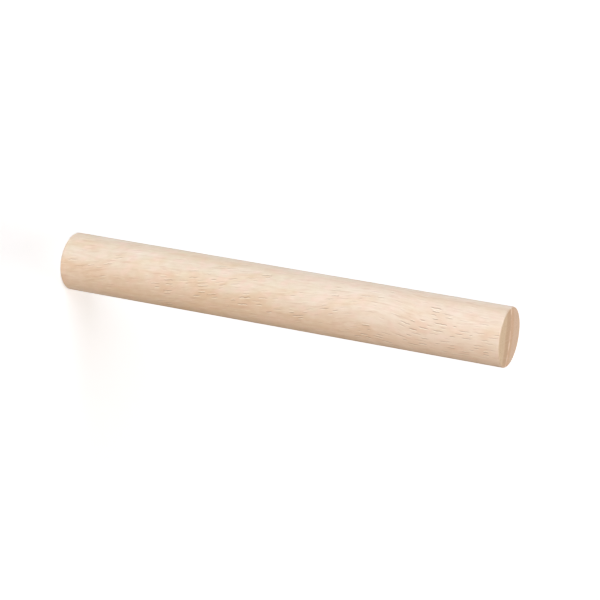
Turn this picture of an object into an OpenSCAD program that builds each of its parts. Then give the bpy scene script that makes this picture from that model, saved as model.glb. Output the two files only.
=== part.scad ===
// Wooden dowel rod: one straight length of round hardwood, sawn square at both
// ends and lightly sanded. It stands on its foot, with the long axis on Z and
// the origin at the centre of the foot's sawn face.

/* [Rod] */
// Diameter of the finished rod
rod_d = 25; // [6:0.5:50]
// Length from the foot's sawn face to the head's sawn face
rod_len = 200; // [50:5:1000]

/* [Sawn ends] */
// Radius that the sanding leaves on the arris round each end
arris_r = 0.6; // [0.2:0.1:2]

/* [Hidden] */

// Segments round the rod and round each arris
$fn = 128;

rod_r = rod_d / 2;
// Radius of the flat that is left on each sawn face
face_r = rod_r - arris_r;
// Length of the straight shank at the full diameter, between the two arrises
shank_len = rod_len - 2 * arris_r;

// Half of the rod's long section, to the right of the axis. The shank's side and
// the two sawn faces are straight, and a quarter round at each corner is tangent
// to both of them.
module half_section() {
    translate([0, arris_r])
        square([rod_r, shank_len]);
    square([face_r, rod_len]);
    for (arris_z = [arris_r, rod_len - arris_r])
        translate([face_r, arris_z])
            circle(r = arris_r);
}

// The whole rod, turned from one piece
module dowel_rod() {
    color("#ead3b8")
        rotate_extrude()
            half_section();
}

dowel_rod();
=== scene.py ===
import math

import bpy
import numpy as np
from mathutils import Matrix, Vector


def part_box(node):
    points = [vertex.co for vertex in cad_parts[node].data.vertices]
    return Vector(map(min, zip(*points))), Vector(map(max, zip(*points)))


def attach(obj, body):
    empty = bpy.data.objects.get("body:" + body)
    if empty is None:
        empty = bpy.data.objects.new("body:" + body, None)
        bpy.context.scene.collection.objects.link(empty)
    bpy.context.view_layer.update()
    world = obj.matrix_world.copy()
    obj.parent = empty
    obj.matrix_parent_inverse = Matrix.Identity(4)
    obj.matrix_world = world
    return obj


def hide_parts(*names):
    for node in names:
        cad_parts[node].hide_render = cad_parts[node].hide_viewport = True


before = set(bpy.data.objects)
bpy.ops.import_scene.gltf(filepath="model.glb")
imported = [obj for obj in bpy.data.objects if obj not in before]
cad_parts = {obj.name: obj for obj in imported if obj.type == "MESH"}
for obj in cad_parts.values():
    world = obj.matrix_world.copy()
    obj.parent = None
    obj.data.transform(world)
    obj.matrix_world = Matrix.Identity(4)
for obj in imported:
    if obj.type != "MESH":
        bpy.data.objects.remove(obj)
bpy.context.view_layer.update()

# Wooden dowel rod: a straight length of sanded, unfinished pale hardwood, sawn square at both ends.
#
# The rod stands on its foot, with its long axis on Z. One closed surface is turned round that axis and
# pressed with the long open pores of the wood. Lengths are in metres and angles in radians, unless a
# comment says otherwise. Angles round the axis are counted from the side that faces -Y, towards +X.

MM = 0.001

# Size of the rod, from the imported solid
foot_corner, head_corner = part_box("dowel_rod")
ROD_LENGTH = head_corner[2] - foot_corner[2]
ROD_RADIUS = (head_corner[0] - foot_corner[0]) / 2
ARRIS_RADIUS = 0.6 * MM

# Grid of the turned surface: its columns follow the fibres, and so many columns share one lane of pores.
# A loop of the grid lies EDGE_LOOP from each edge of the rounded arrises
LANES = 56
COLUMNS_IN_LANE = 8
COLUMNS = LANES * COLUMNS_IN_LANE
SHANK_ROWS = 195
ARRIS_ROWS = 5
FACE_RINGS = 8
EDGE_LOOP = 0.12 * MM

# The planing left slow waves: how many go round the rod, how far their phase turns for each metre up
# it, how high they are, and how far their middle lies below the true radius
PLANING_WAVES = 3
PLANING_TURN = 20
PLANING_HEIGHT = 0.02 * MM
PLANING_CUT = 0.03 * MM

# The fibres: how far they move round the skin for each metre up the rod, the stretch below the head
# where they swerve back, and the height above which they run straight. They wander in waves: how wide,
# how high one radian of a wave is, and how many waves go round the rod
FIBRE_SLOPE = -0.17
SWERVE_SHIFT = 3.6 * MM
SWERVE_HEIGHT = 156 * MM
SWERVE_LENGTH = 12 * MM
STRAIGHT_HEIGHT = 172 * MM
STRAIGHT_LENGTH = 6 * MM
WANDER_SHIFT = 0.6 * MM
WANDER_LENGTH = 11 * MM
WANDER_WAVES = 2

# Open pores lie one after another in lanes along the fibres, each in a slot of its own. A real pore is
# about 0.2 mm across, and these are wider, so that they show
PORES_IN_LANE = 27
PORE_HALF_WIDTH = 0.25 * MM
PORE_DEPTH = 0.06 * MM
PORE_SEED = 7

# Where a pore lies: its half length, the furthest that its end may be from its slot's middle, both in
# slots, and the furthest that it may lie aside of its lane's middle. It fades out between two distances
# from the lane's middle. A share of the pores is turned, with the lip and its painted highlight on the
# other side
PORE_HALF_LENGTH = (0.12, 0.40)
PORE_END = 0.48
PORE_ASIDE = 0.1 * MM
PORE_REACH = (0.45 * MM, 0.60 * MM)
PORES_TURNED = 0.3

# How strong a pore is: both shape numbers of a beta draw, times the share that is left outside the
# clusters and what a cluster adds, times a factor at the foot and one at the head. Along the pore it
# follows a parabola that is PORE_CREST high and cut off flat at 1
PORE_SPREAD = 1.6
PORES_OUTSIDE = 0.24
PORES_INSIDE = 1.1
PORE_STRENGTH = (0.58, 1.18)
PORE_CREST = 1.5

# How strongly a pore colours the wood, and how much more it does so towards +X and less towards -X
PORE_COLOUR = 0.9
PORE_LEAN = 0.32

# The place of a point that is far from every pore, in half widths of a pore
NO_PORE = 9

# Clusters of pores: how many, how far one reaches across and along the fibres, and how strong it is
CLUSTERS = 110
CLUSTER_SIZE = (2.2 * MM, 4.6 * MM)
CLUSTER_STRENGTH = (0.3, 0.9)
CLUSTER_SEED = 11

# The clusters that stand out: degrees round the axis, and millimetres up the rod
STRONG_CLUSTER_STRENGTH = 1.2
STRONG_CLUSTERS = (
    (40, 181),
    (34, 193),
    (-30, 187),
    (-24, 171),
    (2, 182),
    (9, 167),
    (38, 164),
    (-26, 141),
    (48, 141),
    (6, 126),
    (26, 112),
    (12, 94),
    (-28, 92),
    (37, 84),
    (4, 66),
    (20, 70),
    (-5, 50),
    (22, 18),
)

# The lines that an open pore draws: a dark well, which is the pore's own brown with painted shade in it,
# and a pale lip along one side of it, which is a painted highlight, as on a lit edge. A line is given by
# its middle and its half width. It is full as far as PORE_LINE_CORE from its middle and fades out at its
# half width. The lines waver together, and the well lies over the pore where the waver is at its mean,
# half of PORE_WAVER. All of these are in half widths of a pore
PORE_LINES = {"well_and_shade": (1.0, 1.0), "lip_highlight": (2.5, 0.8)}
PORE_LINE_CORE = 0.2
PORE_WAVER = 2.0

# Growth rings lie round the pith, which is RING_PITH from the rod's axis and RING_LEAN round it. One
# dark line lies RING_EDGE from the axis, towards the pith. A slow drift pushes the rings in and out
RING_WIDTH = 26 * MM
RING_PITH = 40 * MM
RING_LEAN = math.radians(14)
RING_EDGE = 2.9 * MM
RING_DRIFT = 4 * MM

# Zones of a growth ring: stops of place and level, from one dark line outwards to the next. The late
# wood is the dark line, with a wide warm flush round it. The early wood is a thin pale streak outside
# the line, and a wide zone beyond it is a little paler
RING_ZONES = {
    "late": ((0.0, 1.0), (0.05, 1.0), (0.15, 0.0), (0.87, 0.0), (1.0, 1.0)),
    "flush": ((0.0, 1.0), (0.19, 1.0), (0.34, 0.0), (0.94, 0.0), (1.0, 1.0)),
    "early": ((0.0, 0.0), (0.07, 0.0), (0.13, 1.0), (0.20, 0.0), (1.0, 0.0)),
    "pale": ((0.0, 0.0), (0.18, 0.0), (0.34, 1.0), (0.52, 1.0), (0.66, 0.0), (1.0, 0.0)),
}

# How wide the fine bands inside a ring are, and the rays that run out from the pith
BAND_WIDTH = 1.1 * MM
RAY_WIDTH = 0.35 * MM

# Painted shade: the wood is painted tanner along this direction, towards +X, which is the side that the
# lamps leave in shade, and a little towards the foot
SHADE_WASH_DIRECTION = (1, 0, -0.03)

# Noises in the wood: what they are laid on (the body, or the grain, which leans with the fibres), the
# size of a lump along X, Y and Z, the finer octaves, and where each starts. The fibres, the nap, the
# rays and the dots of the vessels are coarser than the real ones, so that they show
NOISES = {
    "cloud": ("grain", (7 * MM, 7 * MM, 22 * MM), 2.0, 0.0),
    "tint": ("grain", (4 * MM, 4 * MM, 6 * MM), 1.0, 17.0),
    "drift": ("grain", (15 * MM, 15 * MM, 40 * MM), 1.0, 3.0),
    "streak": ("grain", (1.1 * MM, 1.1 * MM, 9 * MM), 1.0, 11.0),
    "glint": ("grain", (1.1 * MM, 1.1 * MM, 4.5 * MM), 1.0, 31.0),
    "fleck": ("grain", (2 * MM, 2 * MM, 4 * MM), 2.0, 43.0),
    "waver": ("grain", (4 * MM, 4 * MM, 1.5 * MM), 1.0, 37.0),
    "fibre": ("grain", (0.5 * MM, 0.5 * MM, 8 * MM), 3.0, 5.0),
    "nap": ("grain", (0.3 * MM, 0.3 * MM, 5 * MM), 3.0, 2.0),
    "vessel": ("body", (0.45 * MM, 0.45 * MM, 60 * MM), 1.0, 21.0),
}

# Layers of colour: the pattern that a layer follows, the pattern's value where it starts and where it
# is full, how much it covers there, and its colour
SKIN_GROUND = "#ebd8c1"
SKIN_LAYERS = (
    ("cloud", 0.50, 0.68, 0.50, "#f4e4d3"),
    ("cloud", 0.50, 0.32, 0.50, "#e8cca9"),
    ("tint", 0.50, 0.66, 0.31, "#f6d3c4"),
    ("tint", 0.50, 0.34, 0.31, "#e6dabd"),
    # painted shade: tanner towards +X, the shaded side, and a little towards the foot
    ("shade_wash", -4 * MM, 4 * MM, 0.50, "#e5c3a0"),
    # painted light: paler towards the head
    ("rise", 90 * MM, 170 * MM, 0.42, "#f6e0cd"),
    ("late", 0.0, 1.0, 0.15, "#d9b38a"),
    ("band", 0.50, 0.72, 0.12, "#d2a67b"),
    ("stain", 0.2, 1.2, 0.20, "#dcae80"),
    ("streak", 0.60, 0.76, 0.24, "#c4936a"),
    ("glint", 0.58, 0.72, 0.18, "#fff0dc"),
    ("fleck", 0.50, 0.72, 0.13, "#cfa57c"),
    ("fleck", 0.50, 0.30, 0.13, "#fff0e0"),
    ("fibre", 0.40, 0.68, 0.06, "#d6b18a"),
    # painted highlight: a pale line beside each pore
    ("lip_highlight", 0.0, 0.52, 1.0, "#fff3e0"),
    # the pores' own brown, with painted shade in them
    ("well_and_shade", 0.0, 0.50, 0.50, "#925a24"),
)
SAWN_GROUND = "#dec19c"
SAWN_LAYERS = (
    ("band", 0.50, 0.72, 0.22, "#c6a583"),
    ("band", 0.50, 0.28, 0.18, "#e4cbb1"),
    ("flush", 0.0, 1.0, 0.90, "#dab28f"),
    ("pale", 0.0, 1.0, 0.80, "#dfbda1"),
    ("late", 0.0, 1.0, 0.75, "#cca884"),
    ("early", 0.38, 0.52, 0.90, "#efd6ba"),
    ("ray", 0.52, 0.70, 0.25, "#e6cdb2"),
    ("vessel", 0.60, 0.72, 0.35, "#a07a55"),
)

# Gloss, and relief: each pattern that the relief follows, and how far it stands up in millimetres
SKIN_ROUGHNESS = 0.32
SAWN_ROUGHNESS = 0.85
RELIEF = (("nap", 0.014), ("lip_highlight", 0.018), ("well_and_shade", -0.03))

# The floor: half its side, how far it lies below the foot, its colour, and the glow that turns it white
# to the camera. The rod's gloss mirrors cards on it instead: white up to one X, and black from the next
FLOOR_HALF = 6.0
FLOOR_DROP = 0.02 * MM
FLOOR_COLOUR = (0.8, 0.8, 0.8, 1)
FLOOR_GLOW = 0.45
CARD_FADE = (-30 * MM, 60 * MM)
CARD_LEVEL = 0.58
WHITE = (1, 1, 1, 1)

# The room: its colour, its level in front of the rod, the direction that points behind it, and how far
# along that a ray points where the level starts to fade, and where it is none
ROOM_COLOUR = "#ffeada"
ROOM_LEVEL = 0.47
ROOM_BACKWARDS = (-0.15, 1.0, 0)
ROOM_FADE = (-0.28, 0.73)

# The camera looks down past the head at a point on the axis, and lies almost on its side. Its pitch and
# roll are in degrees, and its lens and sensor in millimetres
CAMERA_DISTANCE = 0.9214
CAMERA_PITCH = 22.91
CAMERA_ROLL = 99.97
CAMERA_AIM = (-0.2 * MM, 0, 107.8 * MM)
CAMERA_LENS = 133.1
CAMERA_SENSOR = 36


def linear(hex_colour):
    """An sRGB colour such as "#eed9bf" as linear red, green and blue with full opacity."""
    part = np.array([int(hex_colour[i : i + 2], 16) for i in (1, 3, 5)]) / 255
    low = part / 12.92
    high = ((part + 0.055) / 1.055) ** 2.4
    return (*np.where(part <= 0.04045, low, high).tolist(), 1.0)


def add_node(tree, kind, inputs=None, **settings):
    """Adds a node, with its settings, and fills inputs by name or number from a value or a socket."""
    node = tree.nodes.new(kind)
    for name, value in settings.items():
        setattr(node, name, value)
    for name, value in (inputs or {}).items():
        if isinstance(value, bpy.types.NodeSocket):
            tree.links.new(value, node.inputs[name])
        else:
            node.inputs[name].default_value = value
    return node


def fibre_path(start, height):
    """The angle round the rod that a fibre from this angle at the foot has reached at a height.

    The fibres move round the skin by FIBRE_SLOPE, and wander a little in a slow wave. They swerve back
    over a short stretch, as a tanh curve, and run straight near the head, by the curve log(1 + exp).
    """
    even = FIBRE_SLOPE * height
    swerve = SWERVE_SHIFT * np.tanh((height - SWERVE_HEIGHT) / SWERVE_LENGTH)
    past = np.log1p(np.exp((height - STRAIGHT_HEIGHT) / STRAIGHT_LENGTH)) * STRAIGHT_LENGTH
    wander = WANDER_SHIFT * np.sin(WANDER_WAVES * start + height / WANDER_LENGTH)
    return start + (even + swerve + wander - FIBRE_SLOPE * past) / ROD_RADIUS


def long_section():
    """Radius and height along the rod's outline, from beside the foot's centre to beside the head's.

    A straight line out across the foot, a quarter round, a straight line up the shank, a quarter round
    and a straight line in across the head, with a loop close to each edge of the rounds.
    """
    face_radius = ROD_RADIUS - ARRIS_RADIUS
    out = np.linspace(0, face_radius - EDGE_LOOP, FACE_RINGS + 1)[1:]
    turn = np.linspace(0, np.pi / 2, ARRIS_ROWS)
    low_arc = np.stack([face_radius + ARRIS_RADIUS * np.sin(turn), ARRIS_RADIUS * (1 - np.cos(turn))])
    low = ARRIS_RADIUS + EDGE_LOOP
    shank = np.linspace(low, ROD_LENGTH - low, SHANK_ROWS)
    foot = np.stack([out, np.zeros_like(out)])
    side = np.stack([np.full_like(shank, ROD_RADIUS), shank])
    half = np.concatenate([foot, low_arc], axis=1)
    mirrored = np.stack([half[0, ::-1], ROD_LENGTH - half[1, ::-1]])
    return np.concatenate([half, side, mirrored], axis=1)


def pore_clusters(fibre, height):
    """How deep in a cluster of pores a place is, by its fibre's angle at the foot and its height.

    The sum over the clusters of strength times exp(-across^2 - along^2), where across, as a chord, and
    along are how far a cluster's middle is, in sizes of a cluster.
    """
    draw = np.random.default_rng(CLUSTER_SEED)
    strong = np.array(STRONG_CLUSTERS, dtype=float)
    strong_height = strong[:, 1] * MM
    strong_fibre = np.radians(strong[:, 0]) - fibre_path(0, strong_height)
    middle_fibre = np.append(draw.uniform(0, 2 * np.pi, CLUSTERS), strong_fibre)
    middle_height = np.append(draw.uniform(0, ROD_LENGTH, CLUSTERS), strong_height)
    strength = draw.uniform(*CLUSTER_STRENGTH, CLUSTERS)
    strength = np.append(strength, np.full(len(strong), STRONG_CLUSTER_STRENGTH))
    chord = np.sin((fibre[..., None] - middle_fibre) / 2) * 2 * ROD_RADIUS
    across = chord / CLUSTER_SIZE[0]
    along = (height[..., None] - middle_height) / CLUSTER_SIZE[1]
    return (strength * np.exp(-(across**2) - along**2)).sum(axis=-1)


def open_pores(fibre, height):
    """The place across the nearest open pore, in half widths, and how deep that pore is, from 0 to 1.

    Each point looks up its lane, and its slot along the lane, which holds one pore of random place and
    length. The place changes evenly over the skin, so it stays true between the grid points, and the
    material can draw a pore that is finer than the grid. Along a pore the depth follows 1 - along^2,
    cut off flat, and it is 0 before the next lane begins.
    """
    draw = np.random.default_rng(PORE_SEED)
    count = (LANES, PORES_IN_LANE + 1)
    lane_width = 2 * np.pi * ROD_RADIUS / LANES
    slot_length = ROD_LENGTH / PORES_IN_LANE
    start = draw.random((LANES, 1))
    half_length = draw.uniform(*PORE_HALF_LENGTH, count)
    middle = 0.5 + draw.uniform(-1, 1, count) * (PORE_END - half_length)
    aside = draw.uniform(-PORE_ASIDE, PORE_ASIDE, count)
    side = np.sign(draw.random(count) - PORES_TURNED)
    strength = draw.beta(PORE_SPREAD, PORE_SPREAD, count)

    lane_fibre = (np.arange(LANES)[:, None] + 0.5) * 2 * np.pi / LANES
    slot_height = (np.arange(PORES_IN_LANE + 1) + middle - start) * slot_length
    clustered = PORES_OUTSIDE + PORES_INSIDE * pore_clusters(lane_fibre, slot_height)
    strength = strength * np.clip(clustered, 0, 1)
    strength = strength * np.interp(slot_height, (0, ROD_LENGTH), PORE_STRENGTH)

    lane_place = fibre / (2 * np.pi) * LANES
    lane = lane_place.astype(int)
    slot_place = height / slot_length + start[lane, 0]
    slot = slot_place.astype(int)
    along = (slot_place - slot - middle[lane, slot]) / half_length[lane, slot]
    offset = (lane_place - lane - 0.5) * lane_width
    place = (offset - aside[lane, slot]) / PORE_HALF_WIDTH * side[lane, slot]
    reach = np.interp(np.abs(offset), PORE_REACH, (1, 0))
    depth = strength[lane, slot] * reach * np.clip(PORE_CREST * (1 - along**2), 0, 1)
    return place, depth


def turned_rod():
    """The rod's points, faces and point values.

    The long section is turned round Z: a point is (r sin a, -r cos a, z), where a is the angle round the
    axis. The grid's columns start evenly round the foot and follow the fibres up. On the shank, r is
    lowered by a parabola across each pore and by the planing's waves, the sine of waves * a + turn * z.
    One point closes each end.
    """
    section_radius, section_height = long_section()
    rows = len(section_radius)
    start = (np.arange(COLUMNS) + 0.5) * 2 * np.pi / COLUMNS
    fibre, height = np.meshgrid(start, section_height)
    angle = fibre_path(fibre, height)
    radius = np.repeat(section_radius, COLUMNS).reshape(rows, COLUMNS)
    on_shank = np.clip((radius - (ROD_RADIUS - ARRIS_RADIUS)) / ARRIS_RADIUS, 0, 1)

    place, depth = open_pores(fibre, height)
    groove = np.clip(1 - place**2, 0, 1) * depth * PORE_DEPTH
    wave = np.sin(PLANING_WAVES * angle + PLANING_TURN * height) * PLANING_HEIGHT
    r = radius + on_shank * (wave - PLANING_CUT - groove)
    points = np.stack([r * np.sin(angle), -r * np.cos(angle), height], axis=-1).reshape(-1, 3)
    centres = np.array([[0, 0, 0], [0, 0, ROD_LENGTH]])
    grain = np.stack([radius * np.sin(fibre), -radius * np.cos(fibre), height], axis=-1).reshape(-1, 3)

    index = np.arange(rows * COLUMNS).reshape(rows, COLUMNS)
    right = np.roll(index, -1, axis=1)
    quads = np.stack([index[:-1], right[:-1], right[1:], index[1:]], axis=-1).reshape(-1, 4)
    foot_fan = np.stack([right[0], index[0], np.full(COLUMNS, rows * COLUMNS)], axis=-1)
    head_fan = np.stack([index[-1], right[-1], np.full(COLUMNS, rows * COLUMNS + 1)], axis=-1)

    colouring = depth * on_shank * (PORE_COLOUR + PORE_LEAN * np.sin(angle))
    values = {
        "pore_place": np.append(place, [NO_PORE, NO_PORE]),
        "pore_depth": np.append(colouring, [0, 0]),
        "stain": np.append(pore_clusters(fibre, height), [0, 0]),
        "end_grain": np.append(1 - on_shank, [1, 1]),
        "grain": np.concatenate([grain, centres]),
    }
    return np.concatenate([points, centres]), [quads, foot_fan, head_fan], values


def mesh_object(name, points, face_groups, values, material):
    """A smooth mesh object from arrays of points, groups of equal-sided faces and values at the points."""
    corners = np.concatenate([group.ravel() for group in face_groups])
    sizes = np.concatenate([np.full(len(group), group.shape[1]) for group in face_groups])
    mesh = bpy.data.meshes.new(name)
    mesh.vertices.add(len(points))
    mesh.vertices.foreach_set("co", points.astype(np.float32).ravel())
    mesh.loops.add(len(corners))
    mesh.loops.foreach_set("vertex_index", corners.astype(np.int32))
    mesh.polygons.add(len(sizes))
    mesh.polygons.foreach_set("loop_start", (np.cumsum(sizes) - sizes).astype(np.int32))
    mesh.polygons.foreach_set("use_smooth", np.ones(len(sizes), dtype=bool))
    for key, value in values.items():
        kind, field = ("FLOAT", "value") if value.ndim == 1 else ("FLOAT_VECTOR", "vector")
        layer = mesh.attributes.new(key, kind, "POINT")
        layer.data.foreach_set(field, value.astype(np.float32).ravel())
    mesh.update(calc_edges=True)
    mesh.validate()
    mesh.materials.append(material)
    piece = bpy.data.objects.new(name, mesh)
    bpy.context.scene.collection.objects.link(piece)
    return piece


def add_noises(tree, patterns, body):
    """Adds the values that the mesh carries, and the noises, to the patterns."""
    grain = add_node(tree, "ShaderNodeAttribute", attribute_name="grain").outputs["Vector"]
    grounds = {"body": body, "grain": grain}
    for name in ("pore_place", "pore_depth", "stain", "end_grain"):
        patterns[name] = add_node(tree, "ShaderNodeAttribute", attribute_name=name).outputs["Fac"]
    for name, (laid_on, size, detail, start) in NOISES.items():
        lumps = {"Vector": grounds[laid_on], "Scale": [1 / side for side in size], "Location": (start,) * 3}
        place = add_node(tree, "ShaderNodeMapping", lumps).outputs[0]
        noise = {"Vector": place, "Scale": 1.0, "Detail": detail}
        patterns[name] = add_node(tree, "ShaderNodeTexNoise", noise).outputs[0]


def add_growth(tree, patterns, body):
    """Adds what growth left in the wood, rays, rings and bands round the pith, and the painted light up the
    rod and the painted shade across it.
    """
    # Distance from the pith, pushed about a little by the slow drift
    pith = (RING_PITH * math.sin(RING_LEAN), -RING_PITH * math.cos(RING_LEAN), 0)
    flat = add_node(tree, "ShaderNodeVectorMath", {0: body, 1: (1, 1, 0)}, operation="MULTIPLY").outputs[0]
    reach = add_node(tree, "ShaderNodeVectorMath", {0: flat, 1: pith}, operation="DISTANCE")
    drift = {0: patterns["drift"], 1: RING_DRIFT, 2: -RING_DRIFT / 2}
    push = add_node(tree, "ShaderNodeMath", drift, operation="MULTIPLY_ADD").outputs[0]
    pushed = {0: reach.outputs["Value"], 1: push}
    girth = add_node(tree, "ShaderNodeMath", pushed, operation="ADD").outputs[0]

    # Rays: fine pale lines that run out from the pith
    outwards = add_node(tree, "ShaderNodeVectorMath", {0: flat, 1: pith}, operation="SUBTRACT")
    bearing = add_node(tree, "ShaderNodeVectorMath", {0: outwards.outputs[0]}, operation="NORMALIZE")
    rays = {"Vector": bearing.outputs[0], "Scale": RING_PITH / RAY_WIDTH, "Detail": 1.0}
    patterns["ray"] = add_node(tree, "ShaderNodeTexNoise", rays).outputs[0]

    # Rings: the place between one dark line, at 0, and the next, at 1, looked up in each zone
    count = {0: girth, 1: 1 / RING_WIDTH, 2: (RING_EDGE - RING_PITH) / RING_WIDTH}
    rings = add_node(tree, "ShaderNodeMath", count, operation="MULTIPLY_ADD")
    between = add_node(tree, "ShaderNodeMath", {0: rings.outputs[0]}, operation="FRACT").outputs[0]
    for name, stops in RING_ZONES.items():
        zone = add_node(tree, "ShaderNodeValToRGB", {0: between})
        zone.color_ramp.interpolation = "EASE"
        edges = zone.color_ramp.elements
        for place, _ in stops[1:-1]:
            edges.new(place)
        for edge, (_, level) in zip(edges, stops):
            edge.color = (level, level, level, 1)
        patterns[name] = zone.outputs[0]
    patchy = {0: patterns["early"], 1: patterns["tint"]}
    patterns["early"] = add_node(tree, "ShaderNodeMath", patchy, operation="MULTIPLY").outputs[0]

    # Bands: a noise along the girth alone
    bands = {"W": girth, "Scale": 1 / BAND_WIDTH, "Detail": 1.0}
    patterns["band"] = add_node(tree, "ShaderNodeTexNoise", bands, noise_dimensions="1D").outputs[0]

    # The rise up the rod, painted light that makes the wood paler towards the head, and the wash across it,
    # painted shade on the +X side, which the drift pushes too
    patterns["rise"] = add_node(tree, "ShaderNodeSeparateXYZ", {0: body}).outputs["Z"]
    across = add_node(tree, "ShaderNodeVectorMath", {0: body, 1: SHADE_WASH_DIRECTION}, operation="DOT_PRODUCT")
    shade_wash = {0: across.outputs["Value"], 1: push}
    patterns["shade_wash"] = add_node(tree, "ShaderNodeMath", shade_wash, operation="ADD").outputs[0]


def add_pore_lines(tree, patterns):
    """Adds the lines that the open pores draw, by how far a point is across the pore from each."""
    wavering = {0: patterns["waver"], 1: PORE_WAVER, 2: patterns["pore_place"]}
    across = add_node(tree, "ShaderNodeMath", wavering, operation="MULTIPLY_ADD").outputs[0]
    for name, (middle, half_width) in PORE_LINES.items():
        offset = add_node(tree, "ShaderNodeMath", {0: across, 1: middle}, operation="SUBTRACT")
        distance = add_node(tree, "ShaderNodeMath", {0: offset.outputs[0]}, operation="ABSOLUTE")
        limits = {0: distance.outputs[0], 1: half_width, 2: PORE_LINE_CORE}
        line = add_node(tree, "ShaderNodeMapRange", limits, interpolation_type="SMOOTHSTEP")
        deep = {0: line.outputs[0], 1: patterns["pore_depth"]}
        patterns[name] = add_node(tree, "ShaderNodeMath", deep, operation="MULTIPLY").outputs[0]


def grain_patterns(tree):
    """Each pattern of the wood, by name, as a socket that holds its value at a point of the rod."""
    body = add_node(tree, "ShaderNodeTexCoord").outputs["Object"]
    patterns = {}
    add_noises(tree, patterns, body)
    add_growth(tree, patterns, body)
    add_pore_lines(tree, patterns)
    return patterns


def layered_colour(tree, patterns, ground, layers):
    """The ground colour with each layer's colour laid over it, by an amount that follows a pattern."""
    colour = linear(ground)
    for follows, start, full, cover, tint in layers:
        limits = {0: patterns[follows], 1: start, 2: full, 3: 0.0, 4: cover}
        amount = add_node(tree, "ShaderNodeMapRange", limits, interpolation_type="SMOOTHSTEP")
        laid = {0: amount.outputs[0], 6: colour, 7: linear(tint)}
        colour = add_node(tree, "ShaderNodeMix", laid, data_type="RGBA").outputs[2]
    return colour


def sanded_hardwood():
    """Pale open-pored hardwood, planed round and sanded, with no finish on it.

    The eye sees a slightly silky skin, slow clouds from cream to tan, faint growth bands, soft streaks
    along the fibres, short thin brown pores with painted shade in them and a pale painted highlight beside
    them, and darker, duller sawn ends. The skin is also painted paler towards the head, as painted light,
    and tanner towards +X, as painted shade.
    """
    material = bpy.data.materials.new("sanded_pale_hardwood")
    material.use_nodes = True
    tree = material.node_tree
    shader = tree.nodes["Principled BSDF"]
    patterns = grain_patterns(tree)

    # Colour: the long grain of the shank, and the sawn end grain
    skin = layered_colour(tree, patterns, SKIN_GROUND, SKIN_LAYERS)
    sawn = layered_colour(tree, patterns, SAWN_GROUND, SAWN_LAYERS)
    both = {0: patterns["end_grain"], 6: skin, 7: sawn}
    colour = add_node(tree, "ShaderNodeMix", both, data_type="RGBA").outputs[2]
    tree.links.new(colour, shader.inputs["Base Color"])

    # Gloss: the sanded skin is a little silky, and the sawn ends are dull
    dullness = {0: patterns["end_grain"], 3: SKIN_ROUGHNESS, 4: SAWN_ROUGHNESS}
    roughness = add_node(tree, "ShaderNodeMapRange", dullness).outputs[0]
    tree.links.new(roughness, shader.inputs["Roughness"])

    # Relief: the nap of the fibres, the raised lips and the sunken wells, summed in millimetres
    relief = 0.0
    for follows, rise in RELIEF:
        step = {0: patterns[follows], 1: rise, 2: relief}
        relief = add_node(tree, "ShaderNodeMath", step, operation="MULTIPLY_ADD").outputs[0]
    bump = add_node(tree, "ShaderNodeBump", {"Strength": 1.0, "Distance": MM, "Height": relief})
    tree.links.new(bump.outputs[0], shader.inputs["Normal"])
    return material


def white_paper():
    """A sweep of dull white paper, which the eye sees as plain white with the rod's shadow on it."""
    material = bpy.data.materials.new("white_paper_sweep")
    material.use_nodes = True
    tree = material.node_tree
    tree.nodes.clear()
    rays = add_node(tree, "ShaderNodeLightPath").outputs
    paper = add_node(tree, "ShaderNodeBsdfDiffuse", {"Color": FLOOR_COLOUR}).outputs[0]
    glow = add_node(tree, "ShaderNodeEmission", {"Color": WHITE, "Strength": FLOOR_GLOW}).outputs[0]
    seen = add_node(tree, "ShaderNodeAddShader", {0: paper, 1: glow}).outputs[0]

    # The cards that gloss mirrors: the black one, towards +X, darkens the rod's edge on that side
    place = add_node(tree, "ShaderNodeTexCoord").outputs["Object"]
    aside = add_node(tree, "ShaderNodeSeparateXYZ", {0: place}).outputs["X"]
    fade = {0: aside, 1: CARD_FADE[0], 2: CARD_FADE[1], 3: CARD_LEVEL, 4: 0.0}
    level = add_node(tree, "ShaderNodeMapRange", fade).outputs[0]
    cards = add_node(tree, "ShaderNodeEmission", {"Color": WHITE, "Strength": level}).outputs[0]

    by_gloss = {0: rays["Is Glossy Ray"], 1: paper, 2: cards}
    unseen = add_node(tree, "ShaderNodeMixShader", by_gloss).outputs[0]
    by_camera = {0: rays["Is Camera Ray"], 1: unseen, 2: seen}
    surface = add_node(tree, "ShaderNodeMixShader", by_camera).outputs[0]
    add_node(tree, "ShaderNodeOutputMaterial", {"Surface": surface})
    return material


def studio_floor():
    """A pale floor, far wider than the rod: one square face just below the foot."""
    signs = np.array([[-1, -1], [1, -1], [1, 1], [-1, 1]])
    points = np.column_stack([signs * FLOOR_HALF, np.full(len(signs), -FLOOR_DROP)])
    floor = mesh_object("studio_floor", points, [np.array([[0, 1, 2, 3]])], {}, white_paper())


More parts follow.
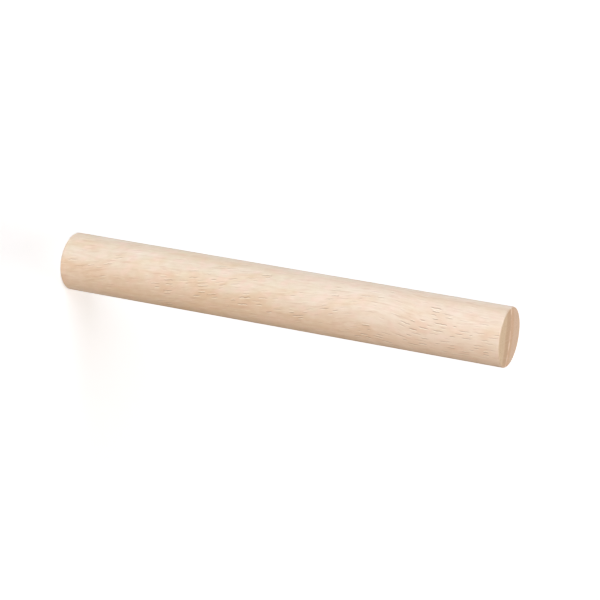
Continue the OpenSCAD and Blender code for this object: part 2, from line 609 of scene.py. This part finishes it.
def studio_world():
    """A pale room that lights the shaded side, dimmer behind the rod, and plain white to the camera."""
    world = bpy.data.worlds.new("studio_room")
    world.use_nodes = True
    tree = world.node_tree
    tree.nodes.clear()
    rays = add_node(tree, "ShaderNodeLightPath").outputs
    towards = add_node(tree, "ShaderNodeTexCoord").outputs["Generated"]
    aim = {0: towards, 1: ROOM_BACKWARDS}
    backwards = add_node(tree, "ShaderNodeVectorMath", aim, operation="DOT_PRODUCT").outputs["Value"]
    fade = {0: backwards, 1: ROOM_FADE[0], 2: ROOM_FADE[1], 3: ROOM_LEVEL, 4: 0.0}
    level = add_node(tree, "ShaderNodeMapRange", fade).outputs[0]
    lit = {"Color": linear(ROOM_COLOUR), "Strength": level}
    room = add_node(tree, "ShaderNodeBackground", lit).outputs[0]
    white = add_node(tree, "ShaderNodeBackground", {"Color": WHITE, "Strength": 1.0}).outputs[0]
    by_camera = {0: rays["Is Camera Ray"], 1: room, 2: white}
    surface = add_node(tree, "ShaderNodeMixShader", by_camera).outputs[0]
    add_node(tree, "ShaderNodeOutputWorld", {"Surface": surface})
    bpy.context.scene.world = world


def studio_lamp(name, turn, rise, spread, colour, level):
    """A far, soft lamp, so that its light is even all along the rod and over the floor.

    It stands turn degrees round the axis and rise degrees up, and looks spread degrees wide. A level
    of 1 shows a colour about as it is written on a surface that faces it.
    """
    turn, rise = math.radians(turn), math.radians(rise)
    away = Vector((math.sin(turn) * math.cos(rise), -math.cos(turn) * math.cos(rise), math.sin(rise)))
    light = bpy.data.lights.new(name, "SUN")
    light.angle = math.radians(spread)
    light.color = linear(colour)[:3]
    light.energy = level * math.pi
    lamp = bpy.data.objects.new(name, light)
    lamp.location = away
    lamp.rotation_mode = "QUATERNION"
    lamp.rotation_quaternion = away.to_track_quat("Z", "Y")
    bpy.context.scene.collection.objects.link(lamp)


def studio_camera():
    """The camera, set by the point it looks at, its distance, its pitch and its roll."""
    pitch = math.radians(CAMERA_PITCH)
    back = Vector((0, -math.cos(pitch), math.sin(pitch)))
    optics = bpy.data.cameras.new("studio_camera")
    optics.lens = CAMERA_LENS
    optics.sensor_width = CAMERA_SENSOR
    camera = bpy.data.objects.new("studio_camera", optics)
    level = back.to_track_quat("Z", "Y").to_matrix()
    roll = Matrix.Rotation(math.radians(CAMERA_ROLL), 3, "Z")
    camera.rotation_mode = "QUATERNION"
    camera.rotation_quaternion = (level @ roll).to_quaternion()
    camera.location = Vector(CAMERA_AIM) + back * CAMERA_DISTANCE
    bpy.context.scene.collection.objects.link(camera)
    bpy.context.scene.camera = camera


studio_camera()
studio_world()
studio_floor()
studio_lamp("key_lamp", turn=-43, rise=25, spread=55, colour="#e2f0ff", level=0.76)
studio_lamp("fill_lamp", turn=50, rise=12, spread=50, colour="#fff9f2", level=0.29)
studio_lamp("back_lamp", turn=178, rise=20, spread=30, colour="#fffaf5", level=0.58)

rod_points, rod_faces, rod_values = turned_rod()
rod = mesh_object("sanded_dowel_rod", rod_points, rod_faces, rod_values, sanded_hardwood())
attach(rod, "root")
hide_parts("dowel_rod")

bpy.context.scene.view_settings.view_transform = "Standard"
